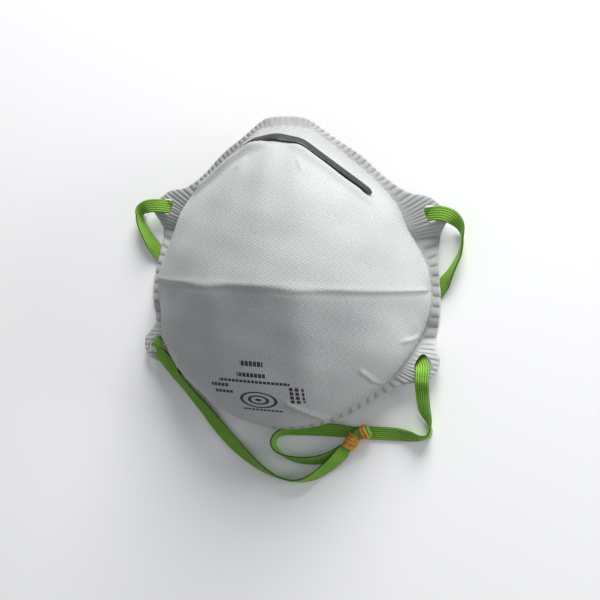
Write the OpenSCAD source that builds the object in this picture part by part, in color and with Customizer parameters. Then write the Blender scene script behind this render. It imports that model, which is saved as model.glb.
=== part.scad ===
// Disposable cup-shaped dust mask with one continuous elastic strap.
// Origin: centre of the face opening, in the plane that the mask rests on.
// +Z points out of the front of the cup, +Y to the nose, -Y to the chin.

/* [Cup] */
// Width over the strap ears, mm
mask_w = 148; // [140:1:156]
// Height from the nose edge to the chin edge, mm
mask_h = 145; // [138:1:152]
// Depth of the cup from the resting plane to its crown, mm
cup_depth = 57; // [50:1:62]
// Extra height of the pinched nose ridge, mm
nose_ridge = 2; // [0:0.5:3]

/* [Layers] */
// Thickness of the embossed outer cover, mm
cover_t = 0.5; // [0.3:0.1:0.6]
// Thickness of each melt-blown filter layer, mm
filter_t = 0.4; // [0.2:0.1:0.5]
// Thickness of the moulded support shell, mm
shell_t = 0.8; // [0.5:0.1:0.9]
// Thickness of the soft inner lining, mm
lining_t = 0.4; // [0.2:0.1:0.5]
// Gap between neighbouring layers, mm
layer_gap = 0.05; // [0.03:0.01:0.08]

/* [Rim] */
// Thickness of the crimped, welded rim, mm
rim_t = 1.0; // [0.8:0.1:1.2]
// Radius of the strap hole in each ear, mm
ear_hole_r = 4.4; // [4.0:0.1:4.6]

/* [Nose clip and foam] */
// Width of the bendable nose strip, mm
clip_w = 5; // [4:0.5:6]
// Thickness of the bendable nose strip, mm
clip_t = 0.8; // [0.5:0.1:1.2]
// Width of the nose foam inside, mm
foam_w = 9; // [7:1:11]
// Thickness of the nose foam inside, mm
foam_t = 3.4; // [2:0.2:4]

/* [Strap] */
// Width of the braided elastic, mm
strap_w = 6.5; // [5:0.5:6.5]
// Thickness of the braided elastic, mm
strap_t = 1.1; // [0.8:0.1:1.1]
// Length of the thread whipping that joins the two strap runs, mm
whip_l = 8.4; // [7:0.2:9]

/* [Hidden] */

sx = mask_w / 148;
sy = mask_h / 145;

// Line where the cup meets the rim, right half, nose to chin.
base_pts = [[0,71,23.5],[7.5,70.3,23.2],[13.5,69,22],[20.5,64.2,19.5],
    [28.5,58.2,16.2],[36.5,52,13.2],[44,45.5,10.4],[51.5,36.8,7.5],
    [55.5,27.5,4.5],[59,21.5,0.5],[62.5,16,0.5],[66.4,8,2.4],
    [67.8,-1,2.4],[68.2,-7,2.4],[67.2,-13,2],[65.8,-17.5,0.5],
    [63.8,-23,0.5],[61,-29.5,5],[57.2,-36,7.6],[52.5,-42,9],
    [46,-48,10],[37.5,-54.5,10.9],[27.5,-61,11.5],[14,-66,12],
    [0,-67.6,12]];

// Outer edge of the rim with its ears: x, y, z, place on the line above.
rim_pts = [[0,75.2,23,0],[6,75,22.9,0.7],[10.5,74,22.4,1.3],
    [14.5,71.8,21.2,1.9],[20,68,19.3,2.6],[25,64.8,17.5,3.3],
    [31,61.2,15.5,4],[37,56.8,13.2,4.7],[42,52.3,11.2,5.4],
    [47.3,48.2,9.4,6],[52.3,45,8.2,6.5],[57,43,7.4,6.85],
    [61.5,42.3,7,7.1],[65.3,41.3,6.4,7.35],[68.5,39.3,5.8,7.6],
    [71.8,36.6,5.2,7.8],[74,34.2,4.8,8],[74,31.6,4.4,8.2],
    [72.4,29,3.6,8.45],[70.8,26,2,8.75],[69.9,23.5,0.5,9],
    [69.5,19,0.5,10],[69.6,15.5,1.6,10.4],[70.3,10,2.4,10.9],
    [71.3,4,2.4,11.5],[72,-1,2.4,12],[72.3,-7,2.4,13],
    [72.1,-13,2,14],[71.6,-17.5,0.5,15],[70.8,-22.5,0.5,16],
    [70.9,-25,1.8,16.35],[72.3,-28,3.4,16.7],[73.9,-31,4.4,17],
    [74,-34,4.9,17.4],[73.2,-37,5.3,17.7],[70.8,-40,5.7,18],
    [67,-41.9,6.1,18.25],[63,-42.9,6.5,18.5],[58.5,-44.2,6.9,18.85],
    [54,-46.4,7.3,19.25],[48,-50.4,7.7,19.9],[42,-54.6,8,20.5],
    [36,-58.7,8.2,21.15],[29.5,-62.3,8.4,21.8],[22,-65.5,8.2,22.4],
    [12,-68.2,8,23.15],[0,-69.6,8,24]];

// Strap hole centres, right half: upper ear, lower ear.
ear_holes = [[66.8,34],[67,-34.4]];

// Strap routes: x, y, z, tilt of the band in degrees, shift off its face.
// A z of 0 lays the band on the resting plane.
side_right = [[50.6,33.6,3.1,50,0],[51.8,34.2,2.9,38,0],
    [53.8,34.5,2.6,15,0],[57,34.3,2.4,0,0],[60,34.1,2.5,0,0],
    [62.6,34,2.7,-4,0],[64.7,34,3.8,-6,0],[66.4,34,5.6,-6,0],
    [68.4,34.1,7.2,-4,0],[71,34.1,7.7,0,0],[73.6,33.7,7.4,0,0],
    [76,32.6,6.4,8,0],[78.2,30.6,5,32,0],
    [79.9,27.8,4,58,0],[80.8,24,3.5,80,0],[80.6,20,3.4,76,0],
    [79.6,15.6,3.2,68,0],[77.6,11,0,62,0],[75.4,6.6,0,46,0],
    [72.8,2.2,0,15,0],[69.6,-1.8,0,0,0],[66.2,-5.4,0,0,0],
    [62.9,-8.9,0,0,0],[60.2,-12.4,0,15,0],[58.4,-16.6,0,35,0],
    [56.8,-21,0,22,0],[57,-25,0,3,0],[59.2,-28.2,1,0,0],
    [62,-30.4,2,0,0],[64.3,-32.2,2.9,0,0],[65.8,-33.9,4.5,0,0],
    [66.7,-35.6,6.3,-4,0],[67,-37.8,7.7,-7,0],[67,-40.4,8,-6,0],
    [67,-42.6,7.9,-3,0],[67,-44.5,6.8,3,0],[67,-46.4,5.6,8,0],
    [67.2,-48.8,4.8,12,0],[67.5,-51.4,4.4,16,0]];
side_left = [[-50.6,33.6,3.1,130,0],[-51.8,34.2,2.9,142,0],
    [-53.8,34.5,2.6,165,0],[-57,34.3,2.4,180,0],[-60,34.1,2.5,180,0],
    [-62.6,34,2.7,184,0],[-64.7,34,3.8,186,0],[-66.4,34,5.6,186,0],
    [-68.4,34.1,7.2,184,0],[-71,34.1,7.7,180,0],[-73.8,34,7.4,180,0],
    [-76.4,33.7,6.6,176,0],[-78.8,33.1,5.3,160,0],
    [-80.9,31.9,4.2,128,0],[-82.2,29.6,3.5,95,0],
    [-81.8,26.8,3.4,100,0],[-80,23.6,0,112,0],[-77.6,19.8,0,120,0],
    [-74.8,15.8,0,138,0],[-71.8,11.8,0,164,0],[-68.6,8,0,180,0],
    [-65.2,4,0,180,0],[-62.2,-0.2,0,178,0],[-59.8,-5,0,165,0],
    [-58.4,-10.4,0,145,0],[-57.6,-16,0,145,0],[-56.8,-21,0,158,0],
    [-57,-25,0,177,0],[-59.2,-28.2,1,180,0],[-62,-30.4,2,180,0],
    [-64.3,-32.2,2.9,180,0],[-65.6,-33.8,4.5,178,0],
    [-65.9,-35.3,7,140,0],[-64.6,-36.9,10,44,0],
    [-62.2,-39,9.8,20,0],[-59.4,-41.8,9.4,14,0],[-56.7,-45.1,8.9,20,0],
    [-54.2,-48.7,7.9,32,0],[-51.9,-51.6,6.4,35,0]];
head_route = [[48.3,31,3.35,90,0],[48.6,28,3.35,90,0],[49.6,21,3.35,90,0],
    [50.6,11,3.35,90,0],[51,1,3.35,90,0],[50.4,-9,3.35,90,0],
    [48,-19,3.35,90,0],[44,-28,3.35,90,0],[38.4,-36.4,3.35,90,0],
    [31,-43.6,3.35,90,0],[22,-49.4,3.35,90,0],[11.4,-53,3.35,90,0],
    [0,-54.2,3.35,90,0],[-11.4,-53,3.35,90,0],[-22,-49.4,3.35,90,0],
    [-31,-43.6,3.35,90,0],[-38.4,-36.4,3.35,90,0],[-44,-28,3.35,90,0],
    [-48,-19,3.35,90,0],[-50.4,-9,3.35,90,0],[-51,1,3.35,90,0],
    [-50.6,11,3.35,90,0],[-49.6,21,3.35,90,0],[-48.6,28,3.35,90,0],
    [-48.3,31,3.35,90,0]];
neck_right = [[67.6,-51.9,4.3,19,0],[68.1,-54.6,3.8,26,0],
    [69.3,-57.6,3.4,42,0],[70.6,-60.6,0,64,0],[71.4,-63.8,0,86,0],
    [70.4,-66.6,0,95,0],[67,-67.8,0,112,0],[62,-67.6,0,138,0],
    [55,-67.4,0,155,0],[46,-67.8,0,160,0],[36,-68.2,0,160,0],
    [25,-68.4,0,160,0],[15,-68.9,0,158,0],[7,-69.8,0,145,0],
    [0.8,-71.4,0,118,0],[-2.8,-74,0,100,0],[-3.8,-77.2,0,90,0],
    [-1.8,-80.4,0,84,0],[2.8,-82.8,0,72,0],[9,-83.8,0,60,0],
    [16,-83.4,0,54,0],[23,-81.6,0,46,0],[28.4,-79.2,2.8,34,-0.5],
    [31.6,-76.6,3,22,-0.7],[35,-72.4,3.9,20,-0.7],
    [38.4,-68.6,4.9,20,-0.7],[41.8,-67.2,5.8,20,-0.7],
    [43.7,-66.4,6.2,20,-0.7]];
neck_left = [[-51.5,-52.1,6.1,35,0],[-49.2,-54.6,5.2,36,0],
    [-45.6,-59,3.6,32,0],[-40.4,-64.6,0,22,0],[-35.4,-69.8,0,15,0],
    [-30.1,-74.9,0,12,0],[-25.2,-79,0,16,0],[-20.1,-82.8,0,26,0],
    [-14.6,-86.4,0,40,0],[-8.8,-89.6,0,54,0],[-3.1,-92,0,68,0],
    [2.4,-93.4,0,78,0],[8,-93.8,0,80,0],[13.2,-92.8,0,72,0],
    [18,-90.4,0,60,0],[22.4,-87,0,50,0],[26.4,-83,3.2,40,0.4],
    [29.4,-79.4,2.9,30,0.65],[31.6,-76.6,3,22,0.7],
    [35,-72.4,3.9,20,0.7],[38.4,-68.6,4.9,20,0.7],
    [41.8,-67.2,5.8,20,0.7],[43.7,-66.4,6.2,20,0.7]];

nj = 48;      // stations round the cup
nt = 6;       // rings from the rim to the pleat
eps = 0.01;

function unit(v) = v / norm(v);
function bp(i) = let(k = i < 0 ? -i : (i > 24 ? 48 - i : i),
    m = (i < 0 || i > 24) ? -1 : 1, p = base_pts[k])
    [m * p[0] * sx, p[1] * sy, p[2]];
// Smooth plan curve through the points, straight in height.
function base_half(s) = let(i = min(floor(s), 23), f = s - i, a = bp(i - 1),
    b = bp(i), c = bp(i + 1), d = bp(i + 2),
    q = 0.5 * (2 * b + (c - a) * f + (2 * a - 5 * b + 4 * c - d) * f * f
        + (3 * b - a - 3 * c + d) * f * f * f))
    [q[0], q[1], b[2] * (1 - f) + c[2] * f];
function base(s) = let(q = base_half(abs(s))) [s < 0 ? -q[0] : q[0], q[1], q[2]];
// Ring coordinate j: 0 right, 12 nose, 24 left, 36 chin.
function wrap(j) = j < 0 ? j + nj : (j >= nj ? j - nj : j);
function s_of(j) = let(k = wrap(j)) k <= 24 ? 12 - k : (k <= 36 ? 12 - k : 60 - k);
function foot(j) = let(q = base(s_of(j))) [q[0], q[1], q[2] + rim_t / 2 + 0.05];
function outward(j) = let(t = foot(j + 0.4) - foot(j - 0.4)) unit([t[1], -t[0], 0]);
// Pleat line across the crown.
kx = 66.6;
function crease(j) = let(k = wrap(j), x = kx * cos(7.5 * k))
    [x * sx, (-1 - 3.3 * (1 - pow(abs(x / kx), 4))) * sy,
    3.4 + (cup_depth - 3.4) * pow(1 - pow(abs(x / 68), 2.2), 0.75)];
function midw(j) = let(k = wrap(j)) pow(sin(7.5 * (k > 24 ? k - 24 : k)), 2);
function sgn(x) = x > 0.001 ? 1 : (x < -0.001 ? -1 : 0);
// Point on the outer face of the cup: t = 0 at the rim, 1 at the pleat.
function cup(j, t) = let(k = wrap(j), up = k <= 24, a = foot(k), b = crease(k),
    l = norm(b - a), o = outward(k), w = midw(k),
    lean = up ? 0.12 - 0.72 * w : 0.12 + 0.12 * w,
    t1 = unit([o[0] * lean, o[1] * lean, 1]),
    k1 = up ? 0.38 - 0.12 * w : 0.38 - 0.14 * w,
    k2 = up ? 0.42 + 0.07 * w : 0.42 - 0.02 * w,
    c = up ? 0.12 * w : 0.1 + 0.36 * w,
    q = min(1, abs(a[1] - b[1]) / 25),
    t2 = unit((a - b) / l * (1 - q)
        + q * [-0.15 * (1 - w) * sgn(b[0]), up ? 1 : -1, -c]),
    p1 = a + t1 * k1 * l, p2 = b + t2 * k2 * l,
    p = a * pow(1 - t, 3) + 3 * p1 * t * pow(1 - t, 2)
        + 3 * p2 * t * t * (1 - t) + b * pow(t, 3),
    r = up ? nose_ridge * exp(-pow(p[0] / 7, 2)) * sin(180 * min(1, t / 0.8)) : 0)
    p + [0, 0, r];

// Grid of cup points, and of the directions in which layers are set back.
grid = [for (j = [0 : nj - 1]) [for (k = [0 : nt]) cup(j, k / nt)]];
function g(j, k) = grid[(j + nj) % nj][k];
function raw_n(j, k) = let(dj = g(j + 1, k) - g(j - 1, k),
    dk = g(j, min(k + 1, nt)) - g(j, max(k - 1, 0))) unit(cross(dj, dk));
function grid_n(j, k) = k == nt ? unit(raw_n(j, nt - 1) + raw_n(nj - j, nt - 1))
    : let(f = min(1, 2.5 * k / nt), h = outward(j))
    unit(h * (1 - f) + raw_n(j, k) * f);
normals = [for (j = [0 : nj - 1]) [for (k = [0 : nt]) grid_n(j, k)]];

function vid(j, k) = let(m = (j + nj) % nj)
    k < nt ? m * nt + k : nj * nt + (m <= 24 ? m : nj - m);
nv = nj * nt + 25;
function sheet_pts(d) = concat(
    [for (j = [0 : nj - 1]) for (k = [0 : nt - 1]) grid[j][k] - normals[j][k] * d],
    [for (j = [0 : 24]) grid[j][nt] - normals[j][nt] * d]);
// A curved layer between two depths below the outer face.
module layer(d0, d1) {
    outer_f = [for (j = [0 : nj - 1]) for (k = [0 : nt - 1]) each
        [[vid(j, k), vid(j + 1, k + 1), vid(j + 1, k)],
        [vid(j, k), vid(j, k + 1), vid(j + 1, k + 1)]]];
    inner_f = [for (f = outer_f) [f[0] + nv, f[2] + nv, f[1] + nv]];
    edge_f = [for (j = [0 : nj - 1]) each
        [[vid(j, 0), vid(j + 1, 0), vid(j + 1, 0) + nv],
        [vid(j, 0), vid(j + 1, 0) + nv, vid(j, 0) + nv]]];
    polyhedron(points = concat(sheet_pts(d0), sheet_pts(d1)),
        faces = concat(outer_f, inner_f, edge_f), convexity = 6);
}
d_f1 = cover_t + layer_gap;
d_f2 = d_f1 + filter_t + layer_gap;
d_sh = d_f2 + filter_t + layer_gap;
d_li = d_sh + shell_t + layer_gap;
d_in = d_li + lining_t;

module outer_cover() { color("gainsboro") layer(0, cover_t); }
module filter_layer_outer() { color("white") layer(d_f1, d_f1 + filter_t); }
module filter_layer_inner() { color("whitesmoke") layer(d_f2, d_f2 + filter_t); }
module support_shell() { color("ivory") layer(d_sh, d_sh + shell_t); }
module inner_lining() { color("snow") layer(d_li, d_in); }

// Rim: a thin ring whose width grows into four ears.
nr = len(rim_pts);
function rim_station(i) = let(right = i < nr, k = right ? i : 2 * nr - 2 - i,
    m = right ? 1 : -1, r = rim_pts[k], s = min(max(r[3], 0), 24),
    b = base_half(s), u = base_half(min(s + 0.2, 24)) - base_half(max(s - 0.2, 0)),
    o = unit([-u[1], u[0], 0]), n = b - o * (d_in + 0.1))
    [[m * r[0] * sx, r[1] * sy, r[2]], [m * b[0], b[1], b[2]],
    [k == 0 || k == nr - 1 ? 0 : m * n[0], n[1], b[2]]];
module rim_ring() {
    n = 2 * nr - 2;
    h = [0, 0, rim_t / 2];
    pts = [for (i = [0 : n - 1]) let(q = rim_station(i)) each
        [q[0] + h, q[0] - h, q[1] - h, q[2] - h, q[2] + h, q[1] + h]];
    polyhedron(points = pts, faces = [for (i = [0 : n - 1]) for (k = [0 : 5])
        let(a = 6 * i + k, b = 6 * i + (k + 1) % 6,
            c = 6 * ((i + 1) % n) + (k + 1) % 6, d = 6 * ((i + 1) % n) + k)
        each [[a, b, c], [a, c, d]]], convexity = 6);
}
module crimped_rim() {
    color("lightgray") difference() {
        rim_ring();
        for (m = [-1, 1]) for (p = ear_holes)
            translate([m * p[0] * sx, p[1] * sy, -1])
                cylinder(r = ear_hole_r, h = 12, $fn = 48);
    }
}

// Strips that follow the cup below the nose edge.
clip_a = 5.9;
function strip_t(a) = 0.195 + 0.085 * abs(a);
function strip_p(a) = cup(12 + clip_a * a, strip_t(a));
function strip_n(a) = let(j = 12 + clip_a * a, t = strip_t(a))
    unit(cross(cup(j + 0.3, t) - cup(j - 0.3, t), cup(j, t + 0.03) - cup(j, t - 0.03)));
function strip_w(a) = unit(cross(strip_n(a), strip_p(a + 0.02) - strip_p(a - 0.02)));
function end_round(a, w, l) = let(e = (1 - abs(a)) * 50 * l)
    e >= w / 2 ? 1 : sqrt(max(0.06, 1 - pow(1 - 2 * e / w, 2)));
// A strip w wide and 100 l long, between two heights above the cup face.
module strip(w, h0, h1, l, steps) {
    as = [for (i = [0 : steps]) -1 + 2 * i / steps];
    av = concat([-1, -0.985, -0.965], [for (i = [1 : steps - 1]) as[i]],
        [0.965, 0.985, 1]);
    n = len(av);
    pts = [for (a = av) let(p = strip_p(a * l), u = strip_n(a * l),
        v = strip_w(a * l) * w / 2 * end_round(a, w, l)) each
        [p + u * h0 - v, p + u * h0 + v, p + u * h1 + v, p + u * h1 - v]];
    polyhedron(points = pts, faces = concat([[0, 3, 2], [0, 2, 1]],
        [[4 * n - 4, 4 * n - 3, 4 * n - 2], [4 * n - 4, 4 * n - 2, 4 * n - 1]],
        [for (i = [0 : n - 2]) for (k = [0 : 3]) let(a = 4 * i + k,
            b = 4 * i + (k + 1) % 4) each [[a, b, b + 4], [a, b + 4, a + 4]]]),
        convexity = 4);
}
module nose_clip_adhesive() { color("khaki") strip(clip_w - 0.6, 0.1, 0.2, 0.97, 20); }
module nose_clip() { color("dimgray") strip(clip_w, 0.35, 0.35 + clip_t, 1, 20); }
module nose_foam_adhesive() {
    color("khaki") strip(foam_w - 1, -d_in - 0.65, -d_in - 0.5, 0.84, 16);
}
module nose_foam() {
    color("slategray") strip(foam_w, -d_in - 0.85 - foam_t, -d_in - 0.85, 0.88, 16);
}

// Flat band swept along a route.
function lay(p) = p[2] > 0 ? p[2]
    : strap_w / 2 * abs(sin(p[3])) + strap_t / 2 * abs(cos(p[3])) + 0.05;
module band(r) {
    n = len(r);
    c = [for (p = r) [p[0] * sx, p[1] * sy, lay(p)]];
    ht = strap_t / 2;
    hw = strap_w / 2;
    sec = [[hw, -ht + 0.3], [hw, ht - 0.3], [hw - 0.35, ht], [-hw + 0.35, ht],
        [-hw, ht - 0.3], [-hw, -ht + 0.3], [-hw + 0.35, -ht], [hw - 0.35, -ht]];
    pts = [for (i = [0 : n - 1]) let(t = unit(c[min(i + 1, n - 1)] - c[max(i - 1, 0)]),
        s = unit([-t[1], t[0], 0]), u = cross(t, s), a = r[i][3],
        w = cos(a) * s + sin(a) * u, v = cos(a) * u - sin(a) * s) each
        [for (q = sec) c[i] + w * q[0] + v * (q[1] + r[i][4])]];
    polyhedron(points = pts, faces = concat([[for (k = [0 : 7]) k]],
        [[for (k = [7 : -1 : 0]) 8 * (n - 1) + k]],
        [for (i = [0 : n - 2]) for (k = [0 : 7]) let(a = 8 * i + k,
            b = 8 * i + (k + 1) % 8) each [[a, a + 8, b + 8], [a, b + 8, b]]]),
        convexity = 10);
}
module side_strap_left() { color("yellowgreen") band(side_left); }
module side_strap_right() { color("yellowgreen") band(side_right); }
module head_strap() { color("yellowgreen") band(head_route); }
module neck_strap_left() { color("yellowgreen") band(neck_left); }
module neck_strap_right() { color("yellowgreen") band(neck_right); }

// Thread wound round both strap runs, as a sleeve.
module whipping(l) {
    rotate([0, 90, 0]) linear_extrude(l, center = true) difference() {
        union() {
            square([3.1, strap_w + 1.5], center = true);
            square([4.4, strap_w], center = true);
            for (x = [-1.45, 1.45]) for (y = [-strap_w / 2, strap_w / 2])
                translate([x, y]) circle(r = 0.75, $fn = 24);
        }
        square([2 * strap_t + 0.8, strap_w + 0.3], center = true);
    }
}
module strap_whipping() {
    color("goldenrod") translate([35 * sx, -72.4 * sy, 3.9])
        rotate([0, 0, 50]) rotate([0, -10.2, 0]) rotate([20, 0, 0]) whipping(whip_l);
}
module tail_whipping() {
    color("goldenrod") translate([41.9 * sx, -67.15 * sy, 5.83])
        rotate([0, 0, 22.6]) rotate([0, -12.4, 0]) rotate([20, 0, 0]) whipping(3.4);
}

outer_cover();
filter_layer_outer();
filter_layer_inner();
support_shell();
inner_lining();
crimped_rim();
nose_clip();
nose_clip_adhesive();
nose_foam();
nose_foam_adhesive();
side_strap_left();
side_strap_right();
head_strap();
neck_strap_left();
neck_strap_right();
strap_whipping();
tail_whipping();
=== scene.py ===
import math
import bpy
import bmesh
import numpy as np
from mathutils import Matrix, Vector


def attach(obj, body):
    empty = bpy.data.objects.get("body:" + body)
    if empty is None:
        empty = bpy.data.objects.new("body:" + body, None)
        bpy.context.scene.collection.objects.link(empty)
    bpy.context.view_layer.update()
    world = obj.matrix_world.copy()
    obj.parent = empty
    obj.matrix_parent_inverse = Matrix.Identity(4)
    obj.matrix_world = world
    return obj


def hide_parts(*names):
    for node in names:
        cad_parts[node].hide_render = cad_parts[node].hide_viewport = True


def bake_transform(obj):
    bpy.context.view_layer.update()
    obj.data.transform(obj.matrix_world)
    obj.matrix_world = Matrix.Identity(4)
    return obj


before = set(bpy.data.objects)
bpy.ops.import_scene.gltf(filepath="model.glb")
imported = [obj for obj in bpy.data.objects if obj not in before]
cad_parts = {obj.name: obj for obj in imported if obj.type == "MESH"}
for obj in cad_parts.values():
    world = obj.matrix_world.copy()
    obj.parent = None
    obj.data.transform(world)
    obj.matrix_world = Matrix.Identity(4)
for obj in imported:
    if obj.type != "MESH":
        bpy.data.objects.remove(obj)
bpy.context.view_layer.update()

MM = 0.001

# ------------------------------------------------------------------ tables, mm
BASE_PTS = [
    (0, 71, 23.5), (7.5, 70.3, 23.2), (13.5, 69, 22), (20.5, 64.2, 19.5), (28.5, 58.2, 16.2),
    (36.5, 52, 13.2), (44, 45.5, 10.4), (51.5, 36.8, 7.5), (55.5, 27.5, 4.5), (59, 21.5, 0.5),
    (62.5, 16, 0.5), (66.4, 8, 2.4), (67.8, -1, 2.4), (68.2, -7, 2.4), (67.2, -13, 2),
    (65.8, -17.5, 0.5), (63.8, -23, 0.5), (61, -29.5, 5), (57.2, -36, 7.6), (52.5, -42, 9),
    (46, -48, 10), (37.5, -54.5, 10.9), (27.5, -61, 11.5), (14, -66, 12), (0, -67.6, 12),
]
RIM_PTS = [
    (0, 75.2, 23, 0), (6, 75, 22.9, 0.7), (10.5, 74, 22.4, 1.3), (14.5, 71.8, 21.2, 1.9),
    (20, 68, 19.3, 2.6), (25, 64.8, 17.5, 3.3), (31, 61.2, 15.5, 4), (37, 56.8, 13.2, 4.7),
    (42, 52.3, 11.2, 5.4), (47.3, 48.2, 9.4, 6), (52.3, 45, 8.2, 6.5), (57, 43, 7.4, 6.85),
    (61.5, 42.3, 7, 7.1), (65.3, 41.3, 6.4, 7.35), (68.5, 39.3, 5.8, 7.6), (71.8, 36.6, 5.2, 7.8),
    (74, 34.2, 4.8, 8), (74, 31.6, 4.4, 8.2), (72.4, 29, 3.6, 8.45), (70.8, 26, 2, 8.75),
    (69.9, 23.5, 0.5, 9), (69.5, 19, 0.5, 10), (69.6, 15.5, 1.6, 10.4), (70.3, 10, 2.4, 10.9),
    (71.3, 4, 2.4, 11.5), (72, -1, 2.4, 12), (72.3, -7, 2.4, 13), (72.1, -13, 2, 14),
    (71.6, -17.5, 0.5, 15), (70.8, -22.5, 0.5, 16), (70.9, -25, 1.8, 16.35),
    (72.3, -28, 3.4, 16.7), (73.9, -31, 4.4, 17), (74, -34, 4.9, 17.4), (73.2, -37, 5.3, 17.7),
    (70.8, -40, 5.7, 18), (67, -41.9, 6.1, 18.25), (63, -42.9, 6.5, 18.5),
    (58.5, -44.2, 6.9, 18.85), (54, -46.4, 7.3, 19.25), (48, -50.4, 7.7, 19.9),
    (42, -54.6, 8, 20.5), (36, -58.7, 8.2, 21.15), (29.5, -62.3, 8.4, 21.8),
    (22, -65.5, 8.2, 22.4), (12, -68.2, 8, 23.15), (0, -69.6, 8, 24),
]
SIDE_RIGHT = [
    (50.6, 33.6, 3.1, 50, 0), (51.8, 34.2, 2.9, 38, 0), (53.8, 34.5, 2.6, 15, 0),
    (57, 34.3, 2.4, 0, 0), (60, 34.1, 2.5, 0, 0), (62.6, 34, 2.7, -4, 0), (64.7, 34, 3.8, -6, 0),
    (66.4, 34, 5.6, -6, 0), (68.4, 34.1, 7.2, -4, 0), (71, 34.1, 7.7, 0, 0),
    (73.6, 33.7, 7.4, 0, 0), (76, 32.6, 6.4, 8, 0), (78.2, 30.6, 5, 32, 0), (79.9, 27.8, 4, 58, 0),
    (80.8, 24, 3.5, 80, 0), (80.6, 20, 3.4, 76, 0), (79.6, 15.6, 3.2, 68, 0), (77.6, 11, 0, 62, 0),
    (75.4, 6.6, 0, 46, 0), (72.8, 2.2, 0, 15, 0), (69.6, -1.8, 0, 0, 0), (66.2, -5.4, 0, 0, 0),
    (62.9, -8.9, 0, 0, 0), (60.2, -12.4, 0, 15, 0), (58.4, -16.6, 0, 35, 0), (56.8, -21, 0, 22, 0),
    (57, -25, 0, 3, 0), (59.2, -28.2, 1, 0, 0), (62, -30.4, 2, 0, 0), (64.3, -32.2, 2.9, 0, 0),
    (65.8, -33.9, 4.5, 0, 0), (66.7, -35.6, 6.3, -4, 0), (67, -37.8, 7.7, -7, 0),
    (67, -40.4, 8, -6, 0), (67, -42.6, 7.9, -3, 0), (67, -44.5, 6.8, 3, 0), (67, -46.4, 5.6, 8, 0),
    (67.2, -48.8, 4.8, 12, 0), (67.5, -51.4, 4.4, 16, 0),
]
SIDE_LEFT = [
    (-50.6, 33.6, 3.1, 130, 0), (-51.8, 34.2, 2.9, 142, 0), (-53.8, 34.5, 2.6, 165, 0),
    (-57, 34.3, 2.4, 180, 0), (-60, 34.1, 2.5, 180, 0), (-62.6, 34, 2.7, 184, 0),
    (-64.7, 34, 3.8, 186, 0), (-66.4, 34, 5.6, 186, 0), (-68.4, 34.1, 7.2, 184, 0),
    (-71, 34.1, 7.7, 180, 0), (-73.8, 34, 7.4, 180, 0), (-76.4, 33.7, 6.6, 176, 0),
    (-78.8, 33.1, 5.3, 160, 0), (-80.9, 31.9, 4.2, 128, 0), (-82.2, 29.6, 3.5, 95, 0),
    (-81.8, 26.8, 3.4, 100, 0), (-80, 23.6, 0, 112, 0), (-77.6, 19.8, 0, 120, 0),
    (-74.8, 15.8, 0, 138, 0), (-71.8, 11.8, 0, 164, 0), (-68.6, 8, 0, 180, 0),
    (-65.2, 4, 0, 180, 0), (-62.2, -0.2, 0, 178, 0), (-59.8, -5, 0, 165, 0),
    (-58.4, -10.4, 0, 145, 0), (-57.6, -16, 0, 145, 0), (-56.8, -21, 0, 158, 0),
    (-57, -25, 0, 177, 0), (-59.2, -28.2, 1, 180, 0), (-62, -30.4, 2, 180, 0),
    (-64.3, -32.2, 2.9, 180, 0), (-65.6, -33.8, 4.5, 178, 0), (-65.9, -35.3, 7, 140, 0),
    (-64.6, -36.9, 10, 44, 0), (-62.2, -39, 9.8, 20, 0), (-59.4, -41.8, 9.4, 14, 0),
    (-56.7, -45.1, 8.9, 20, 0), (-54.2, -48.7, 7.9, 32, 0), (-51.9, -51.6, 6.4, 35, 0),
]
HEAD_ROUTE = [
    (48.3, 31, 3.35, 90, 0), (48.6, 28, 3.35, 90, 0), (49.6, 21, 3.35, 90, 0),
    (50.6, 11, 3.35, 90, 0), (51, 1, 3.35, 90, 0), (50.4, -9, 3.35, 90, 0), (48, -19, 3.35, 90, 0),
    (44, -28, 3.35, 90, 0), (38.4, -36.4, 3.35, 90, 0), (31, -43.6, 3.35, 90, 0),
    (22, -49.4, 3.35, 90, 0), (11.4, -53, 3.35, 90, 0), (0, -54.2, 3.35, 90, 0),
    (-11.4, -53, 3.35, 90, 0), (-22, -49.4, 3.35, 90, 0), (-31, -43.6, 3.35, 90, 0),
    (-38.4, -36.4, 3.35, 90, 0), (-44, -28, 3.35, 90, 0), (-48, -19, 3.35, 90, 0),
    (-50.4, -9, 3.35, 90, 0), (-51, 1, 3.35, 90, 0), (-50.6, 11, 3.35, 90, 0),
    (-49.6, 21, 3.35, 90, 0), (-48.6, 28, 3.35, 90, 0), (-48.3, 31, 3.35, 90, 0),
]
NECK_RIGHT = [
    (67.6, -51.9, 4.3, 19, 0), (68.1, -54.6, 3.8, 26, 0), (69.3, -57.6, 3.4, 42, 0),
    (70.6, -60.6, 0, 64, 0), (71.4, -63.8, 0, 86, 0), (70.4, -66.6, 0, 95, 0),
    (67, -67.8, 0, 112, 0), (62, -67.6, 0, 138, 0), (55, -67.4, 0, 155, 0), (46, -67.8, 0, 160, 0),
    (36, -68.2, 0, 160, 0), (25, -68.4, 0, 160, 0), (15, -68.9, 0, 158, 0), (7, -69.8, 0, 145, 0),
    (0.8, -71.4, 0, 118, 0), (-2.8, -74, 0, 100, 0), (-3.8, -77.2, 0, 90, 0),
    (-1.8, -80.4, 0, 84, 0), (2.8, -82.8, 0, 72, 0), (9, -83.8, 0, 60, 0), (16, -83.4, 0, 54, 0),
    (23, -81.6, 0, 46, 0), (28.4, -79.2, 2.8, 34, -0.5), (31.6, -76.6, 3, 22, -0.7),
    (35, -72.4, 3.9, 20, -0.7), (38.4, -68.6, 4.9, 20, -0.7), (41.8, -67.2, 5.8, 20, -0.7),
    (43.7, -66.4, 6.2, 20, -0.7),
]
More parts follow.
